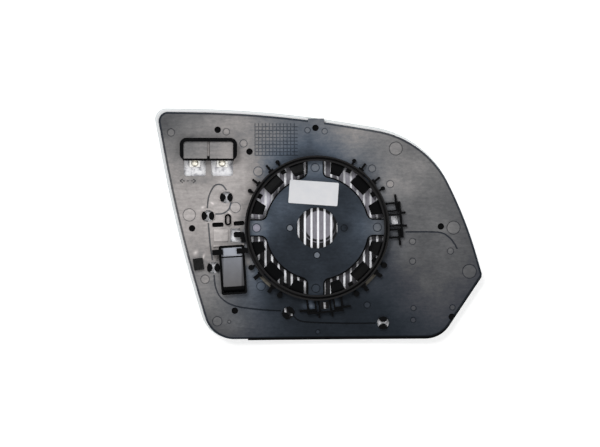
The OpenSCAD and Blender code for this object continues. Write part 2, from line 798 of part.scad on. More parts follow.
// Blade with a foot that is riveted to the film and a tongue that stands off under the hood
module terminal_blade() {
    step = 2.4;
    foot_low = -rivet_r - 0.2;
    foot_high = rivet_r + 0.3;
    tongue_end = hood_len + rivet_drop - hood_wall - 0.7;
    translate([-blade_w / 2, 0, ink_hi + 2 * bond_gap - plate_hi]) {
        translate([0, foot_low, 0]) cube([blade_w, foot_high + blade_t - foot_low, blade_t]);
        translate([0, foot_high, 0]) cube([blade_w, blade_t, step + blade_t]);
        translate([0, foot_high, step]) cube([blade_w, tongue_end - foot_high, blade_t]);
    }
}

// A domed head on the foot of a blade
module rivet() {
    head_h = 1.1;
    dome_r = (rivet_r * rivet_r + head_h * head_h) / (2 * head_h);
    translate([0, 0, ink_hi + 3 * bond_gap - plate_hi + blade_t]) intersection() {
        cylinder(r = rivet_r, h = head_h);
        translate([0, 0, 1.15 * head_h - dome_r]) sphere(dome_r);
    }
}

module terminal_left() {
    color([0.8, 0.78, 0.72]) seated(terminal_at(-1)) terminal_blade();
}

module terminal_right() {
    color([0.8, 0.78, 0.72]) seated(terminal_at(1)) terminal_blade();
}

module rivet_left() {
    color([0.76, 0.66, 0.42]) seated(terminal_at(-1)) rivet();
}

module rivet_right() {
    color([0.76, 0.66, 0.42]) seated(terminal_at(1)) rivet();
}

// Small box with a bevelled lower end and a groove across its upper end
module sensor_cover() {
    bevel_len = 3.6;
    low_h = cover_h * 0.4;
    color([0.26, 0.26, 0.27]) seated(cover_at, cover_turn) difference() {
        translate([0, 0, cover_lift]) linear_extrude(cover_h) round_bar(cover_w, cover_len, 0.8);
        rotate([90, 0, 90]) translate([0, 0, -cover_w]) linear_extrude(2 * cover_w) polygon([
            [-cover_len / 2 - 1, low_h], [-cover_len / 2, low_h], [bevel_len - cover_len / 2, cover_h + 2 * cover_lift],
            [-cover_len / 2 - 1, cover_h + 1]
        ]);
        translate([0, cover_len / 2 - 5.4, cover_h - 0.3]) linear_extrude(far) bar(2 * cover_w, 0.8);
    }
}

module foam_pad() {
    color([0.12, 0.12, 0.13]) seated(pad_at, pad_turn) translate([0, 0, pad_lift])
        linear_extrude(pad_t) round_bar(pad_w, pad_len, 0.5);
}

module paper_label() {
    color([0.87, 0.87, 0.88]) shell(hub_hi + bond_gap, hub_hi + bond_gap + label_t)
        translate(label_at) rotate(label_turn) round_bar(label_w, label_h, 0.8);
}

mirror_glass();
heater_film();
heater_ink();
lead_left();
lead_right();
backing_plate();
terminal_left();
terminal_right();
rivet_left();
rivet_right();
sensor_cover();
foam_pad();
paper_label();
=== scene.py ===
"""Looks of the door mirror glass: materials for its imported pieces, a pale floor, soft light and camera."""

import math

import bpy
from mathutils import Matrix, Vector


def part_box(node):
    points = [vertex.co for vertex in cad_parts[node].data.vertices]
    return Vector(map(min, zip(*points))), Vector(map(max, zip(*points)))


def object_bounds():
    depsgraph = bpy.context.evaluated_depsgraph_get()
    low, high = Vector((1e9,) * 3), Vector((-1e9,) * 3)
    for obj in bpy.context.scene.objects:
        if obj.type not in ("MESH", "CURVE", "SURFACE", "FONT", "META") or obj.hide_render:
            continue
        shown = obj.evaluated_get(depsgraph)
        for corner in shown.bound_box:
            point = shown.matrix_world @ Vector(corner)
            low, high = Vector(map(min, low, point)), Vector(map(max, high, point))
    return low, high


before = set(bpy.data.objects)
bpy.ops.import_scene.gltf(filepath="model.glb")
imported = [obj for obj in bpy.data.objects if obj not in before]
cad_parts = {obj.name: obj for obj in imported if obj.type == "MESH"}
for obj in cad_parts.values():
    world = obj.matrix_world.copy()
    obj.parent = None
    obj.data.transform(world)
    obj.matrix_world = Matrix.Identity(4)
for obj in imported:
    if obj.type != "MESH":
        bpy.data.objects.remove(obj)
cad_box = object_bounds()

MM = 0.001

# The photograph's frame: its size in pixels, the pixel of the hub axis, and the real size of a pixel
PHOTO_W = 600
PHOTO_H = 447
AXIS_PX = (317.0, 228.0)
MM_PER_PX = 0.59

# Every layer is curved about one centre, this far up the hub axis from the back face of the plate, in metres
GLASS_R = 1250 * MM
GLASS_T = 2 * MM
FRONT_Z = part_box("mirror_glass")[0].z
CURVE_Z = GLASS_R + FRONT_Z

# All sizes and places below are in millimetres, and all turns in degrees, unless a line says otherwise

# Radii of the hub and of the ring's outer wall
HUB_R = 39.6
RING_R = 42.6
# Radii at which the hub's own colours begin and are full, and radii between which the ring stands
HUB_EDGE_R = (HUB_R + 0.5, HUB_R - 0.2)
RING_BAND_R = (HUB_R - 0.2, RING_R + 0.05)
# Radii between which the flange lies, outside the ring
FLANGE_BAND_R = (RING_R, RING_R + 2.5)
# The small marks near the bore that carry a painted sheen lie inside this radius, to the left of this X
SMALL_MARKS_R = 22
SMALL_MARKS_X = 7.33
# The mark on the left arm, with its lilac painted sheen, lies to the left of this X
LEFT_MARK_X = -22

# Hood: middle, width and length of its roof, and middle, width and length of the groove in the roof
ROOF = (-63.9, 46.2, 29.2, 12.0)
ROOF_GROOVE = (-63.9, 47.2, 1.6, 10.0)
# Ribbed patch: middle, width and height
GRID = (-24, 52.2, 27, 21)
# Groove on the right: Y of its lower side and of its middle
GROOVE_Y = (-2.7, -2.4)
# Round patch of painted sheen seen through the bore: middle, and radii at which it begins and is full
BORE_SHEEN_AT = (1.3, 1.6)
BORE_SHEEN_EDGE_R = (8.7, 8.3)
# Thin painted highlight round that patch, on the lower side of the bore: its two radii, and Y where it
# begins and is full
BORE_HIGHLIGHT_R = (9.8, 10.4)
BORE_HIGHLIGHT_Y = (0, -6)
# Film at the terminals, where it is wrinkled: place and reach, and where the wrinkles begin and are full
WRINKLED_ZONE = (-63.9, 46.2, 40, 34)
WRINKLED_FROM = (0.0, 0.3)
# Cover: the strip that holds the painted sheen on its top, and Y where that sheen begins, where it is full,
# and of the groove at its upper end
COVER_STRIP = (-49.6, -24.6, 10.6, 60)
COVER_SHEEN_Y = (-40, -13.5)
COVER_GROOVE_Y = (-16.8, -15.8)
# Rivets: Y where the painted shadow on their lower side begins and where it is full, and how ragged its edge
# is
RIVET_SHADOW_Y = (37.8, 36.8)
RIVET_SHADOW_RAGGED = 1.2

# Levels above the back face of the plate that a face lies between
PLATE_MARK_LEVEL = (-0.16, -0.08)
MARK_GROOVE_LEVEL = (-0.37, -0.33)
GRID_LEVEL = (-0.46, -0.37)
HUB_MARK_LEVEL = (0.44, 0.52)
HUB_GROOVE_LEVEL = (0.2, 0.28)
FLANGE_LEVEL = (1.36, 1.5)
ROOF_GROOVE_LEVEL = (3.8, 4.3)
ROOF_LEVEL = (4.2, 5.0)
# Levels at which a treatment begins and is full
SUNK_FROM = (-0.18, -0.22)
DEEP_FROM = (-0.6, -0.8)
HUB_SUNK_FROM = (0.42, 0.36)
RAISED_FROM = (0.45, 0.6)
STANDING_FROM = (0.85, 1.0)
COVER_TOP_FROM = (4.3, 4.45)

# Painted sheen on the plate: its least tone, and soft patches with place, reach along and across, turn, and
# strength
PLATE_SHEEN_FLOOR = 0.018
PLATE_SHEEN = [
    (-56, 8, 42, 75, -18, 0.27), (-50, 30, 70, 110, -20, 0.15), (-45, 62, 60, 25, 0, 0.15),
    (-75, 20, 60, 90, 12, 0.2), (-60, -40, 40, 40, 0, 0.1), (60, 38, 75, 60, 30, 0.18),
    (22, 58, 60, 34, -10, 0.24), (78, -10, 60, 80, 0, 0.1), (-4, 52, 12, 30, 0, -0.05),
    (-86, 30, 24, 90, 12, 0.13), (-66, 61, 34, 16, 0, 0.07), (-44, 34, 26, 34, 0, 0.12),
    (-24, 54, 24, 26, 0, 0.06), (-2, 54, 26, 22, 0, 0.05), (-48, -57, 46, 26, 0, 0.07),
    (62, -34, 34, 50, 20, 0.03), (-38, -22, 12, 34, 0, 0.1), (-88, 60, 20, 14, 0, -0.08),
    (-80, -4, 14, 26, 12, 0.1), (-65, -32, 14, 22, 0, 0.05), (-3.4, -45.6, 8, 7, -6, 0.13),
    (10.5, -45.2, 8, 7, -6, 0.07), (44, 24, 28, 28, 0, 0.14), (50, -10, 22, 26, 0, 0.07),
    (20, 43, 22, 16, 0, 0.05), (33, -33, 18, 18, 0, 0.02), (-41, -20, 7, 9, 0, 0.1),
    (-68, 27, 22, 12, 0, -0.06), (60, 46, 24, 20, 0, -0.04),
]
# A patch of painted sheen that stops at the groove on the right
GROOVE_SHEEN = (70, -2, 34, 22, 0, 0.05)
# The same on the hub, which is darker and cooler
HUB_FLOOR = 0.022
HUB_SHEEN = [
    (-22, 14, 42, 42, 0, 0.07), (28, 2, 30, 48, 0, 0.05), (0, 36, 40, 18, 0, 0.14),
    (-36, 0, 14, 14, 0, 0.17), (36, 0, 16, 18, 0, 0.09), (0, -37, 18, 14, 0, 0.025),
    (-2, -22, 26, 14, 0, 0.012), (-14, -1, 9, 18, 0, -0.025), (17, 0, 7, 7, 0, -0.03),
]
# The same on the heating layer, where it shows in the windows round the hub
INK_FLOOR = 0.013
INK_SHEEN = [
    (-33, 16, 24, 34, 0, 0.7), (19, 33, 26, 26, 0, 0.5), (31, 16, 22, 34, 0, 0.35),
    (-18, 33, 20, 18, 0, 0.25), (24, -26, 26, 22, 0, 0.12),
]
# Small pale streaks: the same list
PALE_STREAKS = [
    (-61.8, 14.6, 2.6, 1.3, -38, 0.4), (-51.4, 8.9, 3.4, 0.8, -38, 0.4), (-67.3, 12.2, 2.2, 1.6, 20, 0.4),
    (-71.5, -14.5, 3, 2.4, 40, 0.4), (-66.8, -16.8, 3.4, 1.4, 70, 0.4),
]
# Mottle of the painted sheen: size, detail, roughness and stretch of a noise, and the least and most share
# of the tone that it leaves
MOTTLE = [
    (13, 6.0, 0.65, (1, 1, 1), 0.6, 1.4), (6, 5.0, 0.7, (0.5, 4, 1), 0.75, 1.25),
    (2.6, 4.0, 0.7, (1, 1.6, 1), 0.6, 1.4),
]

# Share of the painted sheen on raised faces and on the hood's roof
RAISED_SHARE = 1.3
ROOF_SHARE = 0.97
# Share of the painted sheen on the round marks, and the painted sheen added to those on the plate, near the
# bore and on the left arm
MARK_SHARE = 1.12
PLATE_MARK_TONE = 0.015
SMALL_MARK_TONE = 0.14
LEFT_MARK_TONE = 0.08
# Share of the painted sheen that painted shade takes away in recessed faces, in the shallow ones, beside the
# hub and in its marks' grooves
SUNK_SHADE = 0.66
SHALLOW_SHADE = 0.38
HUB_SUNK_SHADE = 1.0
HUB_GROOVE_SHADE = 0.55
# Share of the painted sheen that painted shade takes away in the groove of the hood's roof
ROOF_GROOVE_SHADE = 0.3

# Zone of the plate where thin painted sheen looks cool: place and reach, and where that begins and is full
COOL_ZONE = (-8, 0, 75, 110)
COOL_FROM = (0.02, 0.3)
# X on the hub and tone of the painted sheen at which it begins to look cool and is fully so
COOL_HUB_X = (30, -5)
THIN_FROM = (0.25, 0.1)
# Tint of the painted sheen from thin to thick
TINTS = (
    (0.02, (0.75, 0.97, 1.28)), (0.055, (0.91, 0.96, 1.13)), (0.085, (0.97, 0.985, 1.04)),
    (0.16, (1.0, 0.995, 1.01)), (0.32, (1.05, 0.985, 0.965)),
)
COOL = (0.78, 0.97, 1.26)
LILAC = (0.98, 0.96, 1.16)
NO_SHEEN = (0.0, 0.0, 0.0)
BLACK = (0.0016, 0.0017, 0.002)
# Dull black of the ring, which is paler than the other standing parts through a faint painted sheen
RING_BLACK = (0.017, 0.0165, 0.017)
# Mottled flange, from its dark spots to its pale ones
FLANGE_MOTTLE = ((0.3, (0.02, 0.02, 0.018)), (0.65, (0.13, 0.12, 0.1)))

# Cover: tone of its painted sheen at the lower and the upper end, the tone added past the groove, the share
# of the sheen outside its strip, the least and most share that its mottle leaves, and tint of thin and full
# sheen
COVER_TONE = (0.12, 0.31)
COVER_END_TONE = 0.2
COVER_SIDE_SHARE = 0.5
COVER_MOTTLE = (0.6286, 0.9143)
COVER_TINTS = ((1.02, 0.99, 1.0), (0.94, 0.99, 1.12))
# Heating layer: tone added by the round patch of painted sheen and by the painted highlight round it, and
# tint of its painted sheen
BORE_SHEEN_TONE = 0.2
BORE_HIGHLIGHT_TONE = 0.15
INK_TINT = (1.0, 0.97, 1.1)
# Fibres in the painted sheen: where they begin and are full on a noise, and the least and most share that
# they leave
FIBRES_FROM = (0.1, 0.7)
FIBRES_SHARE = (0.6, 1.25)
# Film: stops of its faint spots and of the painted shade and light of its wrinkles
FILM_SPOTS = ((0.3, (0.84, 0.85, 0.9)), (0.5, (0.94, 0.945, 0.98)))
FILM_WRINKLE_SHADING = ((0.36, (0.42, 0.42, 0.45)), (0.46, (0.78, 0.78, 0.81)), (0.56, (0.95, 0.95, 0.97)))
# Glass: silver of the mirror, white paint of its back, and pale ground edge
SILVER = (0.87, 0.89, 0.9)
PAINT = (0.93, 0.94, 0.95)
GROUND = (0.62, 0.68, 0.68)
# Its front faces down, with the Z of its normal below this, and its back begins this near to its upper face
FRONT_NORMAL_Z = -0.5
BACK_FROM = (-0.2, -0.1)
# Rivet: bright top and painted shadow on its lower side, with the share of metal that shows through that
# shadow
BRIGHT_BRASS = (0.88, 0.84, 0.74)
RIVET_SHADOW = (0.05, 0.04, 0.03)
RIVET_SHADOW_METAL = 0.4
# Foam, from its open pores to its skin, and the label's faint mottle
FOAM_STOPS = ((0.35, 0.004), (0.7, 0.024))
LABEL_STOPS = ((0.3, (0.64, 0.65, 0.68)), (0.7, (0.7, 0.7, 0.715)))
# Drawn grain of bare metal: where its dark and its bright colour stand on a noise
GRAIN_STOPS = (0.3, 0.65)

# Least and most roughness of each finish
PLASTIC_ROUGHNESS = (0.2143, 0.5714)
FILM_ROUGHNESS = (0.2571, 0.5429)
INK_ROUGHNESS = (0.1304, 0.3478)
MIRROR_ROUGHNESS = (0.0, 0.0714)
RIVET_ROUGHNESS = (0.2, 0.5)
LEAD_ROUGHNESS = (0.3, 0.55)
TIN_ROUGHNESS = (0.22, 0.47)
# Roughness of the glass's edge and back, of foam and of paper, which are even
GLASS_BACK_ROUGHNESS = 0.4
FOAM_ROUGHNESS = 0.9
LABEL_ROUGHNESS = 0.55
# Specular level of moulded plastic, which leaves its black walls dark, and of the other dull black layers
PLASTIC_SPECULAR = 0.04
DULL_SPECULAR = 0.1
# Share of the coarse speckle in the texture of moulded plastic, beside its fine grain
SPECKLE_SHARE = 0.65
# Rays that round off an edge
BEVEL_SAMPLES = 6

# Floor: half its side in metres, its colour, and the distances in millimetres from the part between which
# its glow rises from the near value to the far one
FLOOR_REACH = 6.0
FLOOR_GREY = (0.8, 0.8, 0.8, 1)
GLOW_SPAN = (500, 2000)
GLOW = (0.42, 0.68)
# Strength of the world as light on the part, and as seen directly or in a reflection
WORLD_STRENGTH = (0.4, 1.0)
WHITE = (1, 1, 1, 1)
# Camera: width of the sensor and length of the lens in millimetres, and its clipping in metres
SENSOR_W = 36.0
LENS = 100.0
CLIP = (0.01, 50.0)


class Nodes:
    """A material's node tree, with short calls for the nodes that the finishes below share."""

    def __init__(self, name):
        self.material = bpy.data.materials.new(name)
        self.material.use_nodes = True
        self.tree = self.material.node_tree
        self.shader = self.tree.nodes["Principled BSDF"]
        self.place = self.tree.nodes.new("ShaderNodeTexCoord").outputs["Object"]

    def make(self, kind, **settings):
        node = self.tree.nodes.new(kind)
        for key, value in settings.items():
            setattr(node, key, value)
        return node

    def put(self, value, socket):
        """Links an output to a socket, or sets the socket to a plain value."""
        if isinstance(value, bpy.types.NodeSocket):
            self.tree.links.new(value, socket)
        else:
            socket.default_value = value

    def set(self, **values):
        """Sets the shader's own sockets, with underscores for the spaces in their names."""
        for key, value in values.items():
            self.put(value, self.shader.inputs[key.replace("_", " ")])

    def maths(self, operation, a, b=0.0):
        node = self.make("ShaderNodeMath", operation=operation)
        self.put(a, node.inputs[0])
        self.put(b, node.inputs[1])
        return node.outputs[0]

    def times(self, a, *others):
        for b in others:
            a = self.maths("MULTIPLY", a, b)
        return a

    def plus(self, a, b):
        return self.maths("ADD", a, b)

    def either(self, a, b):
        """The larger of two masks."""
        return self.maths("MAXIMUM", a, b)

    def without(self, mask):
        """1 where a mask is 0, and 0 where it is 1."""
        return self.maths("SUBTRACT", 1.0, mask)

    def below(self, value, limit):
        return self.maths("LESS_THAN", value, limit)

    def step(self, value, low, high):
        """Rises from 0 at low to 1 at high, or falls where low is the larger."""
        node = self.make("ShaderNodeMapRange")
        self.put(value, node.inputs["Value"])
        node.inputs["From Min"].default_value = low
        node.inputs["From Max"].default_value = high
        return node.outputs[0]

    def band(self, value, low, high):
        """1 between two values and 0 outside them."""
        return self.times(self.maths("GREATER_THAN", value, low), self.below(value, high))

    def blend(self, factor, a, b):
        """Plain number between a and b."""
        node = self.make("ShaderNodeMix", data_type="FLOAT")
        for value, socket in ((factor, 0), (a, 2), (b, 3)):
            self.put(value, node.inputs[socket])
        return node.outputs[0]

    def mix(self, factor, a, b):
        """Colour between a and b."""
        node = self.make("ShaderNodeMix", data_type="RGBA")
        for value, socket in ((factor, 0), (a, 6), (b, 7)):
            self.put((*value, 1) if isinstance(value, tuple) else value, node.inputs[socket])
        return node.outputs[2]

    def noise(self, size_mm, detail=3.0, roughness=0.55, stretch=(1, 1, 1)):
        """Noise whose features are about size_mm across, from 0 to 1."""
        scaled = self.make("ShaderNodeMapping")
        self.put(self.place, scaled.inputs["Vector"])
        scaled.inputs["Scale"].default_value = stretch
        node = self.make("ShaderNodeTexNoise")
        self.put(scaled.outputs[0], node.inputs["Vector"])
        node.inputs["Scale"].default_value = 1 / (size_mm * MM)
        node.inputs["Detail"].default_value = detail
        node.inputs["Roughness"].default_value = roughness
        return node.outputs["Fac"]

    def ramp(self, value, *stops):
        """A colour ramp through (position, colour) stops; a number stands for a grey."""
        node = self.make("ShaderNodeValToRGB")
        elements = node.color_ramp.elements
        while len(elements) < len(stops):
            elements.new(0.5)
        for element, (position, colour) in zip(elements, stops):
            element.position = position
            element.color = (colour,) * 3 + (1,) if isinstance(colour, (int, float)) else (*colour, 1)
        self.put(value, node.inputs[0])
        return node.outputs[0]

    def axis(self, name):
        """The object's X, Y or Z coordinate in millimetres."""
        node = self.make("ShaderNodeSeparateXYZ")
        self.put(self.place, node.inputs[0])
        return self.maths("DIVIDE", node.outputs[name], MM)

    def distance(self, place, centre):
        """Distance between two places in metres."""
        node = self.make("ShaderNodeVectorMath", operation="DISTANCE")
        self.put(place, node.inputs[0])
        node.inputs[1].default_value = centre
        return node.outputs["Value"]

    def radius(self, x_mm=0.0, y_mm=0.0):
        """Distance from the upright line through a place, in millimetres."""
        level = self.make("ShaderNodeVectorMath", operation="MULTIPLY")
        self.put(self.place, level.inputs[0])
        level.inputs[1].default_value = (1, 1, 0)
        metres = self.distance(level.outputs[0], (x_mm * MM, y_mm * MM, 0))
        return self.maths("DIVIDE", metres, MM)

    def height(self):
        """Height above the back face of the plate in millimetres, square to the curved face."""
        metres = self.maths("SUBTRACT", CURVE_Z, self.distance(self.place, (0, 0, CURVE_Z)))
        return self.maths("DIVIDE", metres, MM)

    def local(self, x_mm, y_mm, wide_mm, high_mm, turn=0.0):
        """Coordinates about a place, which are 1 at the given reach along and across."""
        mapped = self.make("ShaderNodeMapping", vector_type="TEXTURE")
        self.put(self.place, mapped.inputs["Vector"])
        mapped.inputs["Location"].default_value = (x_mm * MM, y_mm * MM, 0)
        mapped.inputs["Rotation"].default_value = (0, 0, math.radians(turn))
        mapped.inputs["Scale"].default_value = (wide_mm * MM, high_mm * MM, 1)
        return mapped.outputs[0]

    def blob(self, x_mm, y_mm, wide_mm, high_mm, turn=0.0):
        """A soft patch that is 1 at a place and falls to 0 at its reach."""
        ball = self.make("ShaderNodeTexGradient", gradient_type="QUADRATIC_SPHERE")
        self.put(self.local(x_mm, y_mm, wide_mm, high_mm, turn), ball.inputs[0])
        return ball.outputs["Fac"]

    def box(self, x_mm, y_mm, wide_mm, high_mm):
        """1 inside an upright rectangle, seen from above, and 0 outside."""
        split = self.make("ShaderNodeSeparateXYZ")
        self.put(self.local(x_mm, y_mm, wide_mm / 2, high_mm / 2), split.inputs[0])
        return self.times(*(self.below(self.maths("ABSOLUTE", split.outputs[i]), 1.0) for i in (0, 1)))

    def patches(self, tone, table):
        """Adds soft patches to a tone."""
        for *where, strength in table:
            tone = self.plus(tone, self.times(self.blob(*where), strength))
        return tone

    def bump(self, height, depth_mm, rounding_mm=0.0):
        """Bump from a height, over edges rounded by rounding_mm."""
        node = self.make("ShaderNodeBump")
        node.inputs["Strength"].default_value = 1.0
        node.inputs["Distance"].default_value = depth_mm * MM
        self.put(height, node.inputs["Height"])
        if rounding_mm:
            bevel = self.make("ShaderNodeBevel", samples=BEVEL_SAMPLES)
            bevel.inputs["Radius"].default_value = rounding_mm * MM
            self.put(bevel.outputs[0], node.inputs["Normal"])
        self.put(node.outputs[0], self.shader.inputs["Normal"])


def moulded(n, colour):
    """Gives a finish the sheen and the fine texture of moulded plastic."""
    grain = n.noise(0.35, detail=2.0, roughness=0.6)
    speckle = n.noise(5, detail=5.0, roughness=0.7)
    sheen = n.blend(speckle, *PLASTIC_ROUGHNESS)
    n.set(Base_Color=colour, Roughness=sheen, Specular_IOR_Level=PLASTIC_SPECULAR)
    n.bump(n.blend(SPECKLE_SHARE, grain, speckle), depth_mm=0.05, rounding_mm=0.25)


class Plate(Nodes):
    """The plate's node tree, with the masks that the layers of its colour share."""

    def __init__(self, name):
        super().__init__(name)
        self.level = self.height()
        self.from_axis = self.radius()
        self.x = self.axis("X")
        self.on_hub = self.step(self.from_axis, *HUB_EDGE_R)
        self.roof = self.times(self.box(*ROOF), self.at(ROOF_LEVEL))
        self.plate_mark = self.at(PLATE_MARK_LEVEL)
        self.hub_mark = self.times(self.at(HUB_MARK_LEVEL), self.on_hub)
        self.left_mark = self.times(self.hub_mark, self.below(self.x, LEFT_MARK_X))

    def at(self, levels):
        """1 on the faces between two levels."""
        return self.band(self.level, *levels)

    def painted_sheen(self):
        """Tone of the mottled painted sheen on the faces of the plate and of the hub."""
        plate = self.patches(PLATE_SHEEN_FLOOR, PLATE_SHEEN)
        tone = self.blend(self.on_hub, plate, self.patches(HUB_FLOOR, HUB_SHEEN))
        *where, strength = GROOVE_SHEEN
        above = self.times(self.blob(*where), self.step(self.axis("Y"), *GROOVE_Y))
        tone = self.plus(tone, self.times(above, strength))
        raised = self.times(self.step(self.level, *RAISED_FROM), self.without(self.on_hub))
        tone = self.times(tone, self.blend(raised, 1.0, self.blend(self.roof, RAISED_SHARE, ROOF_SHARE)))
        for size, detail, roughness, stretch, least, most in MOTTLE:
            tone = self.times(tone, self.blend(self.noise(size, detail, roughness, stretch), least, most))
        return tone

    def marks(self, tone):
        """Adds the painted sheen of the round moulding marks, and the small pale streaks."""
        near_bore = self.times(self.hub_mark, self.below(self.from_axis, SMALL_MARKS_R))
        near_bore = self.times(near_bore, self.below(self.x, SMALL_MARKS_X))
        # The round marks carry more of the painted sheen, and some get painted sheen added
        tone = self.times(tone, self.blend(self.either(self.plate_mark, self.hub_mark), 1.0, MARK_SHARE))
        tone = self.plus(tone, self.times(self.plate_mark, PLATE_MARK_TONE))
        tone = self.plus(tone, self.times(near_bore, SMALL_MARK_TONE))
        tone = self.plus(tone, self.times(self.left_mark, LEFT_MARK_TONE))
        return self.patches(tone, PALE_STREAKS)

    def recesses(self, tone):
        """Paints shade into the recessed faces of the plate and of the hub."""
        shallow = self.either(self.times(self.box(*GRID), self.at(GRID_LEVEL)), self.at(MARK_GROOVE_LEVEL))
        # Painted shade: recessed faces lose their sheen, the shallow grid and mark grooves less so
        sunk = self.times(self.step(self.level, *SUNK_FROM), self.blend(shallow, SUNK_SHADE, SHALLOW_SHADE))
        loss = self.blend(self.at(HUB_GROOVE_LEVEL), HUB_SUNK_SHADE, HUB_GROOVE_SHADE)
        hub_sunk = self.times(self.on_hub, self.step(self.level, *HUB_SUNK_FROM), loss)
        return self.times(tone, self.without(self.either(sunk, hub_sunk)))

    def tinted(self, tone):
        """Colour of the painted sheen: cool where it is thin, lilac on the mark of the left arm."""
        cool_hub = self.times(self.on_hub, self.step(self.x, *COOL_HUB_X))
        cool = self.either(cool_hub, self.step(self.blob(*COOL_ZONE), *COOL_FROM))
        cool = self.times(cool, self.step(tone, *THIN_FROM))
        tint = self.mix(cool, self.ramp(tone, *TINTS), COOL)
        return self.mix(tone, NO_SHEEN, self.mix(self.left_mark, tint, LILAC))

    def black_parts(self, colour):
        """Blackens what stands, and as painted shade what is deep, but not the hood's roof or the mottled
        flange.
        """
        # Painted shade in the groove of the hood's roof
        groove = self.times(self.box(*ROOF_GROOVE), self.at(ROOF_GROOVE_LEVEL))
        colour = self.mix(self.times(groove, ROOF_GROOVE_SHADE), colour, BLACK)
        flange = self.times(self.at(FLANGE_LEVEL), self.band(self.from_axis, *FLANGE_BAND_R))
        colour = self.mix(flange, colour, self.ramp(self.noise(4), *FLANGE_MOTTLE))
        pale = self.either(self.either(self.roof, groove), flange)
        standing = self.times(self.step(self.level, *STANDING_FROM), self.without(pale))
        # The ring's paler black is a faint painted sheen
        black = self.mix(self.band(self.from_axis, *RING_BAND_R), BLACK, RING_BLACK)
        # What stands goes plain black; what is deep goes black as painted shade
        return self.mix(self.either(standing, self.step(self.level, *DEEP_FROM)), colour, black)


def plate_finish(name):
    """Black moulded plastic with a pale painted sheen; its walls, ribs, ring and, as painted shade, its
    hollows stay black.
    """
    n = Plate(name)
    tone = n.recesses(n.marks(n.painted_sheen()))
    moulded(n, n.black_parts(n.tinted(tone)))
    return n.material


def cover_finish(name):
    """The small cover: black, with a painted sheen on its top that is palest past the groove at its upper
    end.
    """
    n = Nodes(name)
    # Painted sheen on the cover's top, fading towards its lower end
    painted_sheen = n.step(n.axis("Y"), *COVER_SHEEN_Y)
    end = n.step(n.axis("Y"), *COVER_GROOVE_Y)
    tone = n.plus(n.blend(painted_sheen, *COVER_TONE), n.times(end, COVER_END_TONE))
    tone = n.times(tone, n.blend(n.noise(6, detail=5.0, roughness=0.6), *COVER_MOTTLE))
    tint = n.mix(painted_sheen, *COVER_TINTS)
    share = n.blend(n.box(*COVER_STRIP), COVER_SIDE_SHARE, 1.0)
    top = n.times(n.step(n.height(), *COVER_TOP_FROM), share)
    moulded(n, n.mix(top, BLACK, n.mix(tone, NO_SHEEN, tint)))
    return n.material


def film_finish(name):
    """White polyester film, wrinkled at the terminals, where the wrinkles' shade and light are painted into
    its colour.
    """
    n = Nodes(name)
    spots = n.noise(2.5, detail=4.0, roughness=0.6)
    wrinkles = n.noise(3.2, roughness=0.6)
    at_terminals = n.step(n.blob(*WRINKLED_ZONE), *WRINKLED_FROM)
    # Painted shade and light of the wrinkles near the terminals
    colour = n.mix(at_terminals, n.ramp(spots, *FILM_SPOTS), n.ramp(wrinkles, *FILM_WRINKLE_SHADING))
    n.set(Base_Color=colour, Roughness=n.blend(spots, *FILM_ROUGHNESS))
    n.bump(n.noise(3.2), depth_mm=0.25)
    return n.material


def ink_finish(name):
    """Dark heating layer, with a grey painted sheen up top and in a round middle patch, and a painted
    highlight below it.
    """
    n = Nodes(name)
    fibres = n.step(n.noise(1.4, detail=5.0, roughness=0.7, stretch=(1, 0.5, 1)), *FIBRES_FROM)
    from_bore_sheen = n.radius(*BORE_SHEEN_AT)
    # A round patch of painted sheen in the middle, and a painted highlight round its lower side
    face = n.step(from_bore_sheen, *BORE_SHEEN_EDGE_R)
    line = n.times(n.band(from_bore_sheen, *BORE_HIGHLIGHT_R), n.step(n.axis("Y"), *BORE_HIGHLIGHT_Y))
    # Painted sheen, strongest in the upper part
    tone = n.patches(INK_FLOOR, INK_SHEEN)
    tone = n.plus(tone, n.times(face, BORE_SHEEN_TONE))
    tone = n.plus(tone, n.times(line, BORE_HIGHLIGHT_TONE))
    tone = n.times(tone, n.blend(fibres, *FIBRES_SHARE))
    n.set(
        Base_Color=n.mix(tone, NO_SHEEN, INK_TINT),
        Roughness=n.blend(n.noise(2), *INK_ROUGHNESS),
        Specular_IOR_Level=DULL_SPECULAR,
    )
    n.bump(n.noise(0.8), depth_mm=0.02)
    return n.material


def metal_finish(name, dark, bright, roughness):
    """Bare metal with a fine drawn grain and dull spots."""
    n = Nodes(name)
    grain = n.noise(0.5, detail=4.0, roughness=0.6, stretch=(1, 8, 1))
    n.set(
        Base_Color=n.ramp(grain, *zip(GRAIN_STOPS, (dark, bright))),
        Metallic=1.0,
        Roughness=n.blend(n.noise(0.9, detail=2.0), *roughness),
    )
    n.bump(grain, depth_mm=0.01, rounding_mm=0.15)
    return n.material


def rivet_finish(name):
    """Tinned brass, bright on top, with a dark brown painted shadow round its lower side."""
    n = Nodes(name)
    ragged = n.plus(n.axis("Y"), n.times(n.noise(1.0), RIVET_SHADOW_RAGGED))
    # Painted shadow on the rivet's lower side: darker, browner and less metallic below a ragged line
    dull = n.step(ragged, *RIVET_SHADOW_Y)
    n.set(
        Base_Color=n.mix(dull, BRIGHT_BRASS, RIVET_SHADOW),
        Metallic=n.blend(dull, 1.0, RIVET_SHADOW_METAL),
        Roughness=n.blend(n.noise(0.9, detail=2.0), *RIVET_ROUGHNESS),
    )
    n.bump(n.noise(0.5), depth_mm=0.02, rounding_mm=0.15)
    return n.material


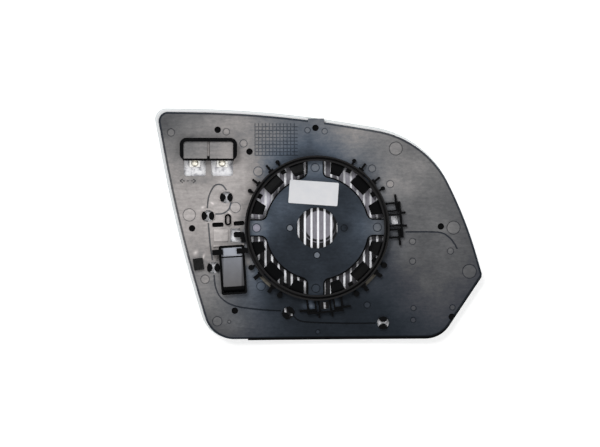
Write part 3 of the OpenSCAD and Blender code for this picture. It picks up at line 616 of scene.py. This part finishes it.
def glass_finish(name):
    """Silvered glass: a clean mirror in front, a pale painted back, and a ground edge."""
    n = Nodes(name)
    normal = n.make("ShaderNodeSeparateXYZ")
    n.put(n.make("ShaderNodeNewGeometry").outputs["True Normal"], normal.inputs[0])
    front = n.below(normal.outputs["Z"], FRONT_NORMAL_Z)
    upper_face = (FRONT_Z + GLASS_T) / MM
    back = n.step(n.height(), *(upper_face + depth for depth in BACK_FROM))
    dust = n.blend(n.noise(6, detail=5.0, roughness=0.7), *MIRROR_ROUGHNESS)
    n.set(
        Base_Color=n.mix(front, n.mix(back, GROUND, PAINT), SILVER),
        Metallic=front,
        Roughness=n.blend(front, GLASS_BACK_ROUGHNESS, dust),
    )
    n.bump(n.noise(90, detail=1.0), depth_mm=0.02, rounding_mm=0.2)
    return n.material


def foam_finish(name):
    """Closed-cell foam with open pores."""
    n = Nodes(name)
    pores = n.noise(0.5, roughness=0.7)
    colour = n.ramp(pores, *FOAM_STOPS)
    n.set(Base_Color=colour, Roughness=FOAM_ROUGHNESS, Specular_IOR_Level=DULL_SPECULAR)
    n.bump(pores, depth_mm=0.15, rounding_mm=0.3)
    return n.material


def label_finish(name):
    """Blank coated paper, faintly mottled, with fibres."""
    n = Nodes(name)
    mottle = n.noise(5, detail=4.0, roughness=0.6)
    fibres = n.noise(0.4, roughness=0.6, stretch=(1, 4, 1))
    n.set(Base_Color=n.ramp(mottle, *LABEL_STOPS), Roughness=LABEL_ROUGHNESS)
    n.bump(fibres, depth_mm=0.015, rounding_mm=0.1)
    return n.material


def dress(finishes):
    """Gives each node of the part its material."""
    for node, material in finishes.items():
        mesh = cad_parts[node].data
        mesh.materials.clear()
        mesh.materials.append(material)


def seen_rays(tree):
    """1 for camera, glossy and transmission rays, and 0 for the others."""
    path = tree.nodes.new("ShaderNodeLightPath")
    seen = path.outputs["Is Camera Ray"]
    for ray in ("Is Glossy Ray", "Is Transmission Ray"):
        node = tree.nodes.new("ShaderNodeMath")
        node.operation = "MAXIMUM"
        tree.links.new(seen, node.inputs[0])
        tree.links.new(path.outputs[ray], node.inputs[1])
        seen = node.outputs[0]
    return seen


def floor_material():
    """Pale floor: white but for the shadow where it is seen, directly or reflected, and clear from below."""
    n = Nodes("floor")
    n.set(Base_Color=FLOOR_GREY, Roughness=1.0, Specular_IOR_Level=0.0)
    glow = n.blend(n.step(n.radius(), *GLOW_SPAN), *GLOW)
    n.set(Emission_Color=WHITE, Emission_Strength=n.times(seen_rays(n.tree), glow))
    clear = n.make("ShaderNodeBsdfTransparent")
    mixed = n.make("ShaderNodeMixShader")
    n.put(n.make("ShaderNodeNewGeometry").outputs["Backfacing"], mixed.inputs[0])
    n.put(n.shader.outputs[0], mixed.inputs[1])
    n.put(clear.outputs[0], mixed.inputs[2])
    n.put(mixed.outputs[0], n.tree.nodes["Material Output"].inputs["Surface"])
    return n.material


def make_floor(height):
    mesh = bpy.data.meshes.new("floor")
    corners = [(x * FLOOR_REACH, y * FLOOR_REACH, height) for x, y in ((-1, -1), (1, -1), (1, 1), (-1, 1))]
    mesh.from_pydata(corners, [], [(0, 1, 2, 3)])
    floor = bpy.data.objects.new("floor", mesh)
    bpy.context.scene.collection.objects.link(floor)
    mesh.materials.append(floor_material())


def make_world():
    """An even white world: plain light on the part, and full white where it is seen."""
    world = bpy.data.worlds.new("studio")
    bpy.context.scene.world = world
    world.use_nodes = True
    tree = world.node_tree
    strength = tree.nodes.new("ShaderNodeMix")
    strength.inputs[2].default_value, strength.inputs[3].default_value = WORLD_STRENGTH
    tree.links.new(seen_rays(tree), strength.inputs[0])
    back = tree.nodes["Background"]
    tree.links.new(strength.outputs[0], back.inputs["Strength"])
    back.inputs["Color"].default_value = WHITE


def soft_light(name, place, size, watts):
    """A round soft lamp that points at the part; its place and size are in metres."""
    lamp = bpy.data.lights.new(name, "AREA")
    lamp.shape = "DISK"
    lamp.size = size
    lamp.energy = watts
    holder = bpy.data.objects.new(name, lamp)
    bpy.context.scene.collection.objects.link(holder)
    holder.location = place
    holder.rotation_mode = "QUATERNION"
    holder.rotation_quaternion = (-Vector(place)).to_track_quat("-Z", "Y")


def make_camera():
    """Looks straight down, with the photograph's frame laid over the back of the plate."""
    lens = bpy.data.cameras.new("camera")
    lens.sensor_width = SENSOR_W
    lens.lens = LENS
    lens.clip_start, lens.clip_end = CLIP
    camera = bpy.data.objects.new("camera", lens)
    bpy.context.scene.collection.objects.link(camera)
    pixel = MM_PER_PX * MM
    x = (PHOTO_W / 2 - AXIS_PX[0]) * pixel
    y = (AXIS_PX[1] - PHOTO_H / 2) * pixel
    camera.location = (x, y, PHOTO_W * pixel * LENS / SENSOR_W)
    camera.rotation_euler = (0, 0, 0)
    bpy.context.scene.camera = camera


lead = metal_finish("lead_foil", (0.5, 0.49, 0.47), (0.72, 0.71, 0.68), LEAD_ROUGHNESS)
tin = metal_finish("tinned_blade", (0.6, 0.59, 0.56), (0.84, 0.83, 0.8), TIN_ROUGHNESS)
brass = rivet_finish("rivet_head")

dress({
    "mirror_glass": glass_finish("silvered_glass"),
    "heater_film": film_finish("white_film"),
    "heater_ink": ink_finish("heating_ink"),
    "lead_left": lead,
    "lead_right": lead,
    "backing_plate": plate_finish("plate_plastic"),
    "terminal_left": tin,
    "terminal_right": tin,
    "rivet_left": brass,
    "rivet_right": brass,
    "sensor_cover": cover_finish("cover_plastic"),
    "foam_pad": foam_finish("pad_foam"),
    "paper_label": label_finish("label_paper"),
})

make_floor(cad_box[0].z)
make_world()
soft_light("key", (-0.45, 0.75, 1.25), size=0.7, watts=11.5)
soft_light("fill", (0.7, -0.45, 1.2), size=0.8, watts=5.0)
make_camera()
bpy.context.scene.view_settings.view_transform = "Standard"
